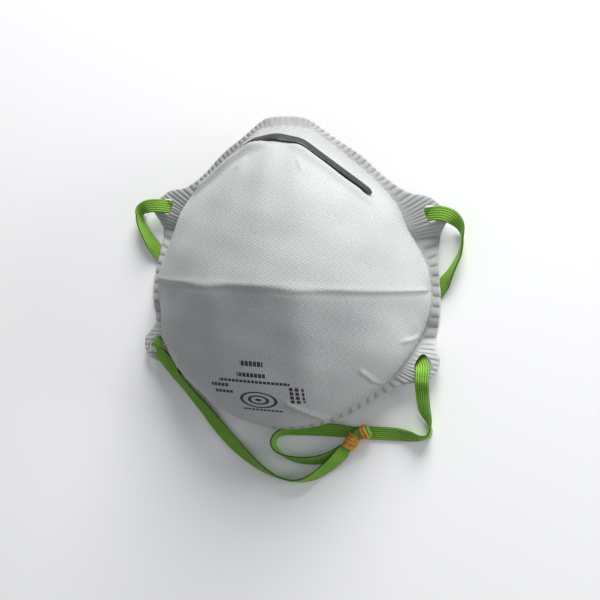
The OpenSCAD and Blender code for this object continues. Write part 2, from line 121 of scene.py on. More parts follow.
NECK_LEFT = [
    (-51.5, -52.1, 6.1, 35, 0), (-49.2, -54.6, 5.2, 36, 0), (-45.6, -59, 3.6, 32, 0),
    (-40.4, -64.6, 0, 22, 0), (-35.4, -69.8, 0, 15, 0), (-30.1, -74.9, 0, 12, 0),
    (-25.2, -79, 0, 16, 0), (-20.1, -82.8, 0, 26, 0), (-14.6, -86.4, 0, 40, 0),
    (-8.8, -89.6, 0, 54, 0), (-3.1, -92, 0, 68, 0), (2.4, -93.4, 0, 78, 0), (8, -93.8, 0, 80, 0),
    (13.2, -92.8, 0, 72, 0), (18, -90.4, 0, 60, 0), (22.4, -87, 0, 50, 0),
    (26.4, -83, 3.2, 40, 0.4), (29.4, -79.4, 2.9, 30, 0.65), (31.6, -76.6, 3, 22, 0.7),
    (35, -72.4, 3.9, 20, 0.7), (38.4, -68.6, 4.9, 20, 0.7), (41.8, -67.2, 5.8, 20, 0.7),
    (43.7, -66.4, 6.2, 20, 0.7),
]
EAR_HOLES = [(66.8, 34.0), (67.0, -34.4)]
CUP_DEPTH = 57.0
NOSE_RIDGE = 2.0
RIM_T = 1.0
COVER_T = 0.5
D_IN = 2.75
D_LINING = 2.3
STRAP_W, STRAP_T = 6.5, 1.1
rng = np.random.default_rng(7)


# ------------------------------------------------------------------ surface of the cup
def unit(v):
    return v / np.maximum(np.linalg.norm(v, axis=-1, keepdims=True), 1e-9)


def cr(p, s):
    """Catmull-Rom through the rows of p at the positions s."""
    p = np.asarray(p, float)
    n = len(p)
    i = np.clip(np.floor(s).astype(int), 0, n - 2)
    f = (s - i)[:, None]
    a, b = p[np.clip(i - 1, 0, n - 1)], p[i]
    c, d = p[i + 1], p[np.clip(i + 2, 0, n - 1)]
    return 0.5 * (2 * b + (c - a) * f + (2 * a - 5 * b + 4 * c - d) * f**2
                  + (3 * b - a - 3 * c + d) * f**3)


_b = np.array(BASE_PTS, float)
_bx = np.vstack([_b[1] * [-1, 1, 1], _b, _b[-2] * [-1, 1, 1]])


def base_half(s):
    q = cr(_bx, np.asarray(s, float) + 1)
    q[:, 2] = np.maximum(q[:, 2], 0.5)
    return q


def base(s):
    s = np.atleast_1d(np.asarray(s, float))
    q = base_half(np.abs(s))
    q[:, 0] *= np.where(s < 0, -1, 1)
    return q


def s_of(j):
    k = np.mod(j, 48)
    return np.where(k <= 36, 12 - k, 60 - k)


def foot(j):
    q = base(s_of(j))
    q[:, 2] += RIM_T / 2 + 0.05
    return q


def outward(j):
    t = foot(j + 0.4) - foot(j - 0.4)
    return unit(np.stack([t[:, 1], -t[:, 0], 0 * t[:, 0]], 1))


def crease(j):
    x = 66.6 * np.cos(np.radians(7.5 * j))
    return np.stack([x, -1 - 3.3 * (1 - np.abs(x / 66.6) ** 4),
                     3.4 + (CUP_DEPTH - 3.4) * np.maximum(1 - np.abs(x / 68) ** 2.2, 0) ** 0.75], 1)


def cup(j, t):
    """Outer face of the cup for arrays j (ring, 0..48) and t (0 rim, 1 pleat): shape (len(j), len(t), 3)."""
    j = np.atleast_1d(np.asarray(j, float))
    t = np.atleast_1d(np.asarray(t, float))
    k = np.mod(j, 48)
    up = (k <= 24)
    a, b, o = foot(k), crease(k), outward(k)
    l = np.linalg.norm(b - a, axis=1)[:, None]
    w = np.sin(np.radians(7.5 * np.where(k > 24, k - 24, k))) ** 2
    lean = np.where(up, 0.12 - 0.72 * w, 0.12 + 0.12 * w)
    t1 = unit(np.stack([o[:, 0] * lean, o[:, 1] * lean, 1 + 0 * lean], 1))
    k1 = np.where(up, 0.38 - 0.12 * w, 0.38 - 0.14 * w)[:, None]
    k2 = np.where(up, 0.42 + 0.07 * w, 0.42 - 0.02 * w)[:, None]
    c = np.where(up, 0.12 * w, 0.1 + 0.36 * w)
    q = np.minimum(1, np.abs(a[:, 1] - b[:, 1]) / 25)[:, None]
    sg = np.clip(b[:, 0] / 2.0, -1, 1)
    t2 = unit((a - b) / l * (1 - q) + q * np.stack(
        [-0.15 * (1 - w) * sg, np.where(up, 1, -1), -c], 1))
    p1, p2 = a + t1 * k1 * l, b + t2 * k2 * l
    T = t[None, :, None]
    p = (a[:, None] * (1 - T) ** 3 + 3 * p1[:, None] * T * (1 - T) ** 2
         + 3 * p2[:, None] * T**2 * (1 - T) + b[:, None] * T**3)
    r = (up[:, None] * NOSE_RIDGE * np.exp(-(p[..., 0] / 7) ** 2)
         * np.sin(np.pi * np.minimum(1, T[..., 0] / 0.8)))
    p[..., 2] += r
    return p


def cup_grid(nj, nt):
    """Points and outward normals on a ring grid. The last column is the pleat, shared by both panels."""
    j = np.arange(nj) * 48.0 / nj
    t = np.linspace(0, 1, nt + 1)
    p = cup(j, t)
    half = nj // 2
    for i in range(half + 1, nj):
        p[i, nt] = p[nj - i, nt]
    dj = np.roll(p, -1, 0) - np.roll(p, 1, 0)
    dk = np.zeros_like(p)
    dk[:, 1:-1] = p[:, 2:] - p[:, :-2]
    dk[:, 0] = p[:, 1] - p[:, 0]
    dk[:, -1] = p[:, -1] - p[:, -2]
    n = unit(np.cross(dj, dk))
    f = np.minimum(1, 2.5 * t)[None, :, None]
    n = unit(outward(j)[:, None] * (1 - f) + n * f)
    idx = (nj - np.arange(nj)) % nj
    last = unit(n[:, nt - 1] + n[idx, nt - 1])
    n[:, nt] = last
    return j, t, p, n


def smooth_soft(v, lo, hi):
    x = np.clip((v - lo) / (hi - lo), 0, 1)
    return x * x * (3 - 2 * x)


def seg_dist(p, a, b):
    """Distance of points to the segment a-b, and the place along it."""
    a, b = np.array(a, float), np.array(b, float)
    d = b - a
    t = np.clip(((p - a) @ d) / (d @ d), 0, 1)
    return np.linalg.norm(p - (a + t[..., None] * d), axis=-1), t


def ridge(p, pts, width, height, taper=0.25):
    """A rounded ridge that runs along a path of points."""
    best = np.full(p.shape[:-1], 1e9)
    along = np.zeros(p.shape[:-1])
    n = len(pts) - 1
    for i in range(n):
        d, t = seg_dist(p, pts[i], pts[i + 1])
        m = d < best
        best = np.where(m, d, best)
        along = np.where(m, (i + t) / n, along)
    fade = smooth_soft(along, 0, taper) * (1 - smooth_soft(along, 1 - taper, 1.0001))
    fade = 0.15 + 0.85 * fade
    return height * np.exp(-((best / width) ** 2)) * fade


# ------------------------------------------------------------------ meshes
def make(name, verts, faces, mats=(), uv=None, smooth=True, mat_index=None):
    me = bpy.data.meshes.new(name)
    me.from_pydata((np.asarray(verts) * MM).tolist(), [], faces)
    me.validate()
    if uv is not None:
        lay = me.uv_layers.new(name="UV")
        uv = np.asarray(uv, float)
        li = np.zeros(len(me.loops), int)
        me.loops.foreach_get("vertex_index", li)
        lay.data.foreach_set("uv", uv[li].astype(np.float32).ravel())
    ob = bpy.data.objects.new(name, me)
    bpy.context.scene.collection.objects.link(ob)
    for m in mats:
        me.materials.append(m)
    if mat_index is not None:
        me.polygons.foreach_set("material_index", mat_index)
    me.polygons.foreach_set("use_smooth", [smooth] * len(me.polygons))
    bm = bmesh.new()
    bm.from_mesh(me)
    bmesh.ops.recalc_face_normals(bm, faces=bm.faces)
    bm.to_mesh(me)
    bm.free()
    me.update()
    return ob


def cup_sheet(name, nj, nt, d_out, d_in, mats, disp=None):
    """A closed curved sheet between two depths under the cup's face."""
    j, t, p, n = cup_grid(nj, nt)
    add = disp(j, t, p, n) if disp else np.zeros(p.shape[:2])
    half = nj // 2
    nv = nj * nt + half + 1

    def flat(q):
        return np.vstack([q[:, :nt].reshape(-1, 3), q[:half + 1, nt]])

    outer = flat(p - n * (d_out - add)[..., None])
    inner = flat(p - n * d_in)
    k, m = np.arange(nt), np.arange(nj)

    def vid(a, b):
        a = a % nj
        c = np.where(a <= half, a, nj - a)
        return np.where(b < nt, a * nt + b, nj * nt + c)

    A, B = np.meshgrid(m, k, indexing="ij")
    A, B = A.ravel(), B.ravel()
    quads = np.stack([vid(A, B), vid(A, B + 1), vid(A + 1, B + 1), vid(A + 1, B)], 1)
    faces = []
    for q in quads.tolist():
        u = []
        for v in q:
            if v not in u:
                u.append(v)
        if len(u) > 2:
            faces.append(u)
    inner_f = [[v + nv for v in f][::-1] for f in faces]
    edge = [[int(vid(i, 0)), int(vid(i + 1, 0)), int(vid(i + 1, 0)) + nv, int(vid(i, 0)) + nv]
            for i in range(nj)]
    return make(name, np.vstack([outer, inner]), faces + inner_f + edge, mats)


def sweep(name, c, w, v, sec, mats, uvs=None, caps=True, smooth=True):
    """Closed tube: stations c, section axes w and v (n,3), sec is (m,2) or (n,m,2)."""
    n = len(c)
    sec = np.asarray(sec, float)
    if sec.ndim == 2:
        sec = np.broadcast_to(sec, (n,) + sec.shape)
    m = sec.shape[1]
    verts = (c[:, None] + w[:, None] * sec[..., :1] + v[:, None] * sec[..., 1:]).reshape(-1, 3)
    faces = []
    for i in range(n - 1):
        for k in range(m):
            a, b = i * m + k, i * m + (k + 1) % m
            faces.append([a, b, b + m, a + m])
    if caps:
        faces.append(list(range(m))[::-1])
        faces.append([(n - 1) * m + k for k in range(m)])
    return make(name, verts, faces, mats, uv=uvs, smooth=smooth)


# ------------------------------------------------------------------ materials
class Mat:
    """A small builder for procedural node materials."""

    def __init__(self, name):
        self.m = bpy.data.materials.new(name)
        self.m.use_nodes = True
        self.nt = self.m.node_tree
        self.nt.nodes.clear()
        self.out = self.nt.nodes.new("ShaderNodeOutputMaterial")
        self.bsdf = self.nt.nodes.new("ShaderNodeBsdfPrincipled")
        self.link(self.bsdf.outputs[0], self.out.inputs[0])

    def link(self, a, b):
        self.nt.links.new(a, b)

    def put(self, sock, val):
        if hasattr(val, "is_linked"):
            self.link(val, sock)
        elif isinstance(val, (tuple, list)) and len(val) == 3 and sock.type == "RGBA":
            sock.default_value = (*val, 1)
        else:
            sock.default_value = val

    def coord(self, kind="Object"):
        n = self.nt.nodes.new("ShaderNodeTexCoord")
        return n.outputs[kind]

    def xyz(self, vec, scale=1000.0):
        s = self.nt.nodes.new("ShaderNodeSeparateXYZ")
        self.put(s.inputs[0], self.vmath("SCALE", vec, scale=scale))
        return s.outputs

    def vmath(self, op, a, b=None, scale=None):
        n = self.nt.nodes.new("ShaderNodeVectorMath")
        n.operation = op
        self.put(n.inputs[0], a)
        if b is not None:
            self.put(n.inputs[1], b)
        if scale is not None:
            self.put(n.inputs["Scale"], scale)
        return n.outputs[0]

    def math(self, op, a, b=0.0, c=None, clamp=False):
        n = self.nt.nodes.new("ShaderNodeMath")
        n.operation = op
        n.use_clamp = clamp
        self.put(n.inputs[0], a)
        self.put(n.inputs[1], b)
        if c is not None:
            self.put(n.inputs[2], c)
        return n.outputs[0]

    def noise(self, vec, scale, detail=3.0, rough=0.5, dist=0.0):
        n = self.nt.nodes.new("ShaderNodeTexNoise")
        self.put(n.inputs["Vector"], vec)
        n.inputs["Scale"].default_value = scale
        n.inputs["Detail"].default_value = detail
        n.inputs["Roughness"].default_value = rough
        n.inputs["Distortion"].default_value = dist
        return n.outputs[0]

    def ramp(self, fac, stops):
        n = self.nt.nodes.new("ShaderNodeValToRGB")
        self.put(n.inputs[0], fac)
        el = n.color_ramp.elements
        while len(el) < len(stops):
            el.new(0.5)
        for e, (p, c) in zip(el, stops):
            e.position = p
            e.color = (*c, 1)
        return n.outputs[0]

    def mix(self, fac, a, b):
        n = self.nt.nodes.new("ShaderNodeMix")
        n.data_type = "RGBA"
        self.put(n.inputs[0], fac)
        self.put(n.inputs[6], a)
        self.put(n.inputs[7], b)
        return n.outputs[2]

    def bump(self, height, strength, distance, normal=None):
        n = self.nt.nodes.new("ShaderNodeBump")
        n.inputs["Strength"].default_value = strength
        n.inputs["Distance"].default_value = distance
        self.put(n.inputs["Height"], height)
        if normal is not None:
            self.put(n.inputs["Normal"], normal)
        return n.outputs[0]

    def set(self, **kw):
        names = {"color": "Base Color", "rough": "Roughness", "metal": "Metallic",
                 "normal": "Normal", "sheen": "Sheen Weight", "spec": "Specular IOR Level",
                 "sss": "Subsurface Weight", "sheen_rough": "Sheen Roughness"}
        for k, v in kw.items():
            self.put(self.bsdf.inputs[names[k]], v)
        return self.m


def clampmul(M, *vals):
    r = vals[0]
    for v in vals[1:]:
        r = M.math("MULTIPLY", r, v)
    return r


def box_mask(M, x, y, cx, cy, hw, hh, soft=0.15):
    """1 inside a soft rectangle."""
    dx = M.math("SUBTRACT", hw, M.math("ABSOLUTE", M.math("SUBTRACT", x, cx)))
    dy = M.math("SUBTRACT", hh, M.math("ABSOLUTE", M.math("SUBTRACT", y, cy)))
    d = M.math("MINIMUM", dx, dy)
    return M.math("MULTIPLY_ADD", d, 1 / soft, 0.5, clamp=True)


def cover_material():
    M = Mat("nonwoven_embossed")
    co = M.coord()
    x, y, z = M.xyz(co)
    warp = M.noise(co, 90.0, 2.0)
    wv = M.math("MULTIPLY_ADD", warp, 0.8, -0.4)
    # net of small pits, in rows across and along a diagonal
    a1 = M.math("ADD", M.math("ADD", M.math("MULTIPLY", x, 0.88), M.math("MULTIPLY", y, 0.47)), wv)
    a2 = M.math("ADD", M.math("SUBTRACT", M.math("MULTIPLY", x, 0.47), M.math("MULTIPLY", y, 0.88)), wv)
    k = 2 * math.pi / 1.25
    s1 = M.math("SINE", M.math("MULTIPLY", a1, k))
    s2 = M.math("SINE", M.math("MULTIPLY", a2, k))
    net = M.math("MULTIPLY", s1, s2)
    pit = M.math("POWER", M.math("MULTIPLY_ADD", net, 0.5, 0.5), 3.0)
    fib = M.noise(co, 1500.0, 4.0, 0.65)
    fib2 = M.noise(M.vmath("MULTIPLY", co, (1.0, 3.5, 1.5)), 420.0, 4.0, 0.6)
    big = M.noise(co, 28.0, 3.0, 0.5)
    h = M.math("ADD", M.math("MULTIPLY", pit, -0.8), M.math("MULTIPLY", fib, 0.5))
    nrm = M.bump(h, 0.8, 0.00024)
    nrm = M.bump(fib2, 0.30, 0.0003, nrm)
    col = M.ramp(big, [(0.3, (0.405, 0.417, 0.413)), (0.7, (0.445, 0.453, 0.447))])
    col = M.mix(M.math("MULTIPLY", pit, 0.22), col, (0.29, 0.30, 0.295))
    col = M.mix(M.math("MULTIPLY_ADD", fib, 0.34, -0.09, clamp=True), col, (0.56, 0.57, 0.56))
    # darker towards the welded foot all round, plus painted shade on the nose-side wall and on the lower right
    pr = M.nt.nodes.new("ShaderNodeAttribute")
    pr.attribute_name = "foot_dark_and_painted_shade"
    col = M.mix(M.math("MULTIPLY", pr.outputs["Fac"], 0.45), col, (0.235, 0.240, 0.238))
    # plain printed bars and a ring, low on the front
    marks = None
    for cx, cy, hw, hh in PRINT_BARS:
        b = box_mask(M, x, y, cx, cy, hw, hh)
        run = M.math("FRACT", M.math("DIVIDE", x if hw > hh else y, 1.9))
        b = M.math("MULTIPLY", b, M.math("MULTIPLY_ADD", M.math("ABSOLUTE", M.math("SUBTRACT", run, 0.5)), -9.0, 4.1,
                                         clamp=True))
        marks = b if marks is None else M.math("MAXIMUM", marks, b)
    for rx, ry, rr, rw in PRINT_RINGS:
        rad = M.math("SQRT", M.math("ADD", M.math("POWER", M.math("SUBTRACT", x, rx), 2.0),
                                    M.math("POWER", M.math("MULTIPLY", M.math("SUBTRACT", y, ry), 2.4), 2.0)))
        ring = M.math("MULTIPLY_ADD", M.math("SUBTRACT", rw, M.math("ABSOLUTE", M.math("SUBTRACT", rad, rr))),
                      5.0, 0.5, clamp=True)
        marks = M.math("MAXIMUM", marks, ring)
    worn = M.math("MULTIPLY_ADD", M.noise(co, 700.0, 3.0, 0.6), 1.4, 0.45, clamp=True)
    marks = clampmul(M, marks, worn, M.math("SUBTRACT", 1.0, M.math("MULTIPLY", pit, 0.15)))
    front = M.math("GREATER_THAN", z, 20.0)
    col = M.mix(clampmul(M, marks, front, 0.98), col, (0.006, 0.006, 0.008))
    return M.set(color=col, rough=M.math("MULTIPLY_ADD", fib, 0.12, 0.80), normal=nrm,
                 sheen=0.15, sheen_rough=0.5, spec=0.25)


def rim_material():
    M = Mat("nonwoven_welded")
    co = M.coord()
    fib = M.noise(co, 1300.0, 4.0, 0.6)
    big = M.noise(co, 60.0, 3.0, 0.5)
    vor = M.nt.nodes.new("ShaderNodeTexVoronoi")
    M.put(vor.inputs["Vector"], co)
    vor.inputs["Scale"].default_value = 900.0
    h = M.math("ADD", M.math("MULTIPLY", fib, 0.8), M.math("MULTIPLY", vor.outputs["Distance"], 0.7))
    col = M.ramp(big, [(0.3, (0.41, 0.42, 0.415)), (0.7, (0.47, 0.475, 0.47))])
    col = M.mix(M.math("MULTIPLY_ADD", fib, 0.5, -0.15, clamp=True), col, (0.52, 0.525, 0.52))
    # darker in the rib valleys of the crimped rim
    gr = M.nt.nodes.new("ShaderNodeAttribute")
    gr.attribute_name = "groove"
    col = M.mix(M.math("MULTIPLY", gr.outputs["Fac"], 0.75, clamp=True), col, (0.17, 0.175, 0.175))
    return M.set(color=col, rough=M.math("MULTIPLY_ADD", fib, 0.2, 0.58), normal=M.bump(h, 0.4, 0.00018),
                 spec=0.35)


def lining_material(name="lining_soft", tint=(0.82, 0.82, 0.80)):
    M = Mat(name)
    co = M.coord()
    fib = M.noise(M.vmath("MULTIPLY", co, (1.0, 2.6, 1.3)), 520.0, 5.0, 0.65)
    big = M.noise(co, 35.0, 3.0)
    dark = tuple(c * 0.93 for c in tint)
    col = M.ramp(big, [(0.3, dark), (0.7, tint)])
    col = M.mix(M.math("MULTIPLY_ADD", fib, 0.4, -0.1, clamp=True), col, (0.90, 0.90, 0.89))
    return M.set(color=col, rough=M.math("MULTIPLY_ADD", fib, 0.1, 0.84), normal=M.bump(fib, 0.35, 0.00025),
                 sheen=0.2, spec=0.2)


def filter_material():
    M = Mat("filter_fibre")
    co = M.coord()
    f1 = M.noise(M.vmath("MULTIPLY", co, (1.0, 4.0, 1.0)), 600.0, 5.0, 0.7, 0.4)
    f2 = M.noise(co, 70.0, 3.0)
    col = M.ramp(f2, [(0.3, (0.78, 0.79, 0.80)), (0.7, (0.87, 0.87, 0.87))])
    return M.set(color=col, rough=M.math("MULTIPLY_ADD", f1, 0.1, 0.85), normal=M.bump(f1, 0.4, 0.0002))


def metal_material():
    M = Mat("clip_dark_metal")
    co = M.coord()
    scr = M.noise(M.vmath("MULTIPLY", co, (1.0, 5.0, 5.0)), 260.0, 4.0, 0.6)
    fine = M.noise(co, 1800.0, 3.0, 0.6)
    col = M.ramp(scr, [(0.3, (0.020, 0.021, 0.023)), (0.7, (0.052, 0.054, 0.058))])
    return M.set(color=col, metal=0.6, rough=M.math("MULTIPLY_ADD", scr, 0.22, 0.34),
                 normal=M.bump(M.math("ADD", scr, M.math("MULTIPLY", fine, 0.4)), 0.25, 0.00012))


def adhesive_material():
    M = Mat("adhesive")
    co = M.coord()
    n = M.noise(co, 400.0, 3.0)
    col = M.ramp(n, [(0.3, (0.62, 0.58, 0.46)), (0.7, (0.74, 0.71, 0.60))])
    return M.set(color=col, rough=M.math("MULTIPLY_ADD", n, 0.3, 0.25), normal=M.bump(n, 0.3, 0.0002))


def foam_material():
    M = Mat("foam_open_cell")
    co = M.coord()
    vor = M.nt.nodes.new("ShaderNodeTexVoronoi")
    M.put(vor.inputs["Vector"], co)
    vor.inputs["Scale"].default_value = 1400.0
    cell = vor.outputs["Distance"]
    n = M.noise(co, 900.0, 3.0)
    col = M.ramp(cell, [(0.1, (0.12, 0.125, 0.14)), (0.55, (0.30, 0.31, 0.34))])
    return M.set(color=col, rough=M.math("MULTIPLY_ADD", n, 0.1, 0.85), normal=M.bump(cell, 0.8, 0.0005))


def elastic_material():
    """Flat braid: columns of small slanted stitches, darker between them. UV is in mm: u across, v along."""
    M = Mat("elastic_braid")
    uv = M.nt.nodes.new("ShaderNodeUVMap")
    uv.uv_map = "UV"
    s = M.nt.nodes.new("ShaderNodeSeparateXYZ")
    M.link(uv.outputs[0], s.inputs[0])
    u, v = s.outputs[0], s.outputs[1]
    pitch = STRAP_W / 6
    cols = M.math("DIVIDE", u, pitch)
    fl = M.math("FLOOR", cols)
    fr = M.math("SUBTRACT", cols, fl)
    cen = M.math("ABSOLUTE", M.math("SUBTRACT", fr, 0.5))
    odd = M.math("MODULO", M.math("ADD", fl, 20.0), 2.0)
    sgn = M.math("MULTIPLY_ADD", odd, 2.0, -1.0)
    slant = M.math("MULTIPLY", M.math("MULTIPLY", M.math("SUBTRACT", fr, 0.5), 0.9), sgn)
    st = M.math("ADD", M.math("DIVIDE", v, 0.95), slant)
    sfr = M.math("ABSOLUTE", M.math("SUBTRACT", M.math("FRACT", st), 0.5))
    wave = M.math("SUBTRACT", 0.5, sfr)
    gap = M.math("MULTIPLY", M.math("SUBTRACT", 0.5, cen), 2.0)
    h = M.math("MULTIPLY", M.math("POWER", M.math("MULTIPLY", wave, 2.0), 0.6), M.math("POWER", gap, 0.5))
    co = M.coord()
    n = M.noise(co, 1600.0, 3.0, 0.6)
    b = M.noise(co, 40.0, 2.0)
    body = M.ramp(b, [(0.3, (0.270, 0.580, 0.036)), (0.7, (0.340, 0.670, 0.065))])
    col = M.mix(h, (0.075, 0.210, 0.016), body)
    col = M.mix(M.math("MULTIPLY_ADD", gap, -3.2, 1.0, clamp=True), col, (0.018, 0.060, 0.008))
    edge = M.math("GREATER_THAN", M.math("ABSOLUTE", M.math("SUBTRACT", u, STRAP_W / 2)), 2.75)
    col = M.mix(M.math("MULTIPLY", edge, 0.30), col, (0.035, 0.10, 0.02))
    col = M.mix(M.math("MULTIPLY_ADD", n, 0.6, -0.25, clamp=True), col, (0.42, 0.66, 0.16))
    return M.set(color=col, rough=M.math("MULTIPLY_ADD", n, 0.2, 0.62), spec=0.3, sheen=0.1,
                 normal=M.bump(M.math("ADD", h, M.math("MULTIPLY", n, 0.35)), 0.7, 0.00022))


def thread_material():
    M = Mat("thread_wound")
    co = M.coord()
    n = M.noise(M.vmath("MULTIPLY", co, (1.6, 1.0, 1.6)), 1900.0, 3.0, 0.6)
    b = M.noise(co, 300.0, 2.0)
    col = M.ramp(b, [(0.3, (0.40, 0.160, 0.016)), (0.7, (0.58, 0.27, 0.032))])
    col = M.mix(M.math("MULTIPLY_ADD", n, 0.8, -0.3, clamp=True), col, (0.78, 0.50, 0.14))
    return M.set(color=col, rough=M.math("MULTIPLY_ADD", n, 0.2, 0.52), normal=M.bump(n, 0.5, 0.00015),
                 sheen=0.1, spec=0.35)


PRINT_BARS = [(-2.6, -38.2, 5.4, 1.15), (-3.4, -43.4, 6.8, 0.95), (-2.6, -46.4, 17.0, 0.62), (14.8, -51.2, 0.85, 3.6),
              (17.4, -51.0, 0.85, 3.8), (20.0, -50.8, 0.5, 3.4), (-19.6, -48.8, 4.6, 0.75), (-18.2, -51.8, 4.6, 0.65),
              (-0.4, -59.2, 9.6, 0.40)]
PRINT_RINGS = [(-1.4, -54.6, 8.3, 0.7), (-1.4, -54.6, 4.4, 0.75), (-1.4, -54.6, 0.7, 0.8)]

m_cover, m_rim, m_lining = cover_material(), rim_material(), lining_material()
m_filter, m_shell = filter_material(), lining_material("shell_moulded", (0.80, 0.79, 0.76))
m_metal, m_glue, m_foam = metal_material(), adhesive_material(), foam_material()
m_elastic, m_thread = elastic_material(), thread_material()


# ------------------------------------------------------------------ cup skins
def sp(j, t):
    return cup([j], [t])[0, 0]


DART = [sp(36.8, 0.41), sp(37.3, 0.335), sp(37.6, 0.26), sp(37.85, 0.17), sp(38.0, 0.03)]
FOLD_2 = [sp(40.23, 0.43), sp(40.45, 0.25), sp(40.75, 0.05)]
FOLD_3 = [sp(43.0, 0.41), sp(43.7, 0.28), sp(44.22, 0.17)]
FOLD_4 = [sp(31.8, 0.42), sp(31.6, 0.25), sp(31.3, 0.06)]
NICK_1 = [sp(13.95, 0.352), sp(14.2, 0.40), sp(14.38, 0.437)]
NICK_2 = [sp(10.05, 0.352), sp(9.8, 0.40), sp(9.62, 0.437)]


CLIP_A = 5.9


def strip_frames(av):
    j, t = 12 + CLIP_A * av, 0.195 + 0.085 * np.abs(av)
    t = 0.195 + 0.085 * np.sqrt(av**2 + 0.0006)
    c = np.array([sp(a, b) for a, b in zip(j, t)])
    dj = np.array([sp(a + 0.3, b) - sp(a - 0.3, b) for a, b in zip(j, t)])
    dt = np.array([sp(a, b + 0.03) - sp(a, b - 0.03) for a, b in zip(j, t)])
    n = unit(np.cross(dj, dt))
    tg = unit(np.gradient(c, axis=0))
    w = unit(np.cross(n, tg))
    return c, n, w


def clip_twist(av):
    return np.radians(14.0) * smooth_soft(np.abs(av), 0.06, 0.30) * (1 - 0.45 * smooth_soft(np.abs(av), 0.9, 1.0))


def clip_swell(p):
    av = np.linspace(-1, 1, 41)
    c, n, w = strip_frames(av)
    edge = c + w * 3.3
    hgt = 5.0 * np.sin(clip_twist(av)) + 1.35 * smooth_soft(av, 0.02, 0.16) * (1 - smooth_soft(av, 0.90, 1.0))
    best = np.full(p.shape[:2], 1e9)
    out = np.zeros(p.shape[:2])
    for i in range(len(av) - 1):
        dd, tt = seg_dist(p, edge[i], edge[i + 1])
        m = dd < best
        best = np.where(m, dd, best)
        out = np.where(m, hgt[i] * (1 - tt) + hgt[i + 1] * tt, out)
    return out * np.exp(-((best / 2.4) ** 2))


def cover_detail(j, t, p, n):
    """Pleat, folds and slight unevenness, in mm outward from the moulded face."""
    T = np.broadcast_to(t[None, :], p.shape[:2])
    J = np.broadcast_to(j[:, None], p.shape[:2])
    arc = np.linalg.norm(p - p[:, -1:], axis=-1)
    x, y = p[..., 0], p[..., 1]
    up = J <= 24
    d = np.zeros(p.shape[:2])
    # pleat: a small step, proud above and tucked in below
    d += np.where(up, 0.30 * np.exp(-(arc / 1.5) ** 2), 0.30 * np.exp(-(arc / 0.9) ** 2)
                  - 0.26 * np.exp(-((arc - 2.0) / 1.5) ** 2))
    # fabric pushed up beside the clip, on the crown's side
    d += clip_swell(p)
    d += ridge(p, DART, 1.1, 2.1, 0.14) - ridge(p + [-0.9, 1.6, 0.9], DART, 1.5, 0.6, 0.14)
    d += ridge(p, FOLD_2, 1.0, 1.2, 0.15) - ridge(p + [0, 1.6, 1.0], FOLD_2, 1.4, 0.45, 0.2)
    d += ridge(p, FOLD_3, 1.0, 0.8)
    d += ridge(p, FOLD_4, 1.1, 0.45)
    d += ridge(p, NICK_1, 0.9, 0.7) + ridge(p, NICK_2, 0.9, 0.4)
    # the lower panel is a little boxy: soft corners beside the flat middle
    low = np.where(up, 0.35, 1.0) * smooth_soft(T, 0.08, 0.45)
    d += low * 1.25 * (np.exp(-((x - 21) / 8.5) ** 2) + np.exp(-((x + 21) / 8.5) ** 2))
    # welded foot pulled in by the crimps
    foot_w = 1 - smooth_soft(T, 0.0, 0.16)
    d += 0.13 * foot_w * np.sin(J * 2 * np.pi * 2.0) - 0.1 * foot_w
    # slow unevenness of a moulded sheet
    for kx, ky, ph, am in ((0.09, 0.05, 0.3, 0.16), (-0.05, 0.12, 1.9, 0.14), (0.17, -0.11, 4.0, 0.07),
                           (0.06, 0.21, 2.2, 0.06)):
        d += am * np.sin(kx * x * 2 + ky * y * 2 + ph) * smooth_soft(T, 0.05, 0.3)
    return d


cover = cup_sheet("cover_skin", 480, 88, 0.0, COVER_T - 0.02, [m_cover], cover_detail)
_co = np.zeros(len(cover.data.vertices) * 3)
cover.data.vertices.foreach_get("co", _co)
_co = _co.reshape(-1, 3) * 1000
_nj, _nt = 480, 88
_T = np.concatenate([np.tile(np.arange(_nt) / _nt, _nj), np.ones(_nj // 2 + 1)])
_T = np.concatenate([_T, _T])
# darker towards the foot all round; the second term, on the nose-side wall and on the lower right only, is painted
# shade
_foot_dark_and_shade = (0.55 * (1 - smooth_soft(_T, 0.0, 0.24))
          + 0.45 * (1 - smooth_soft(_T, 0.10, 0.30)) * np.maximum(
              smooth_soft(_co[:, 1], 34, 50), smooth_soft(-_co[:, 1], 30, 45) * smooth_soft(_co[:, 0], 5, 30)))
_at = cover.data.attributes.new("foot_dark_and_painted_shade", "FLOAT", "POINT")
_at.data.foreach_set("value", _foot_dark_and_shade.astype(np.float32))
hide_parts("outer_cover")
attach(cover, "mask")

lining = cup_sheet("lining_skin", 192, 30, D_LINING, D_LINING + 0.4, [m_lining])
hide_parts("inner_lining")
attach(lining, "mask")


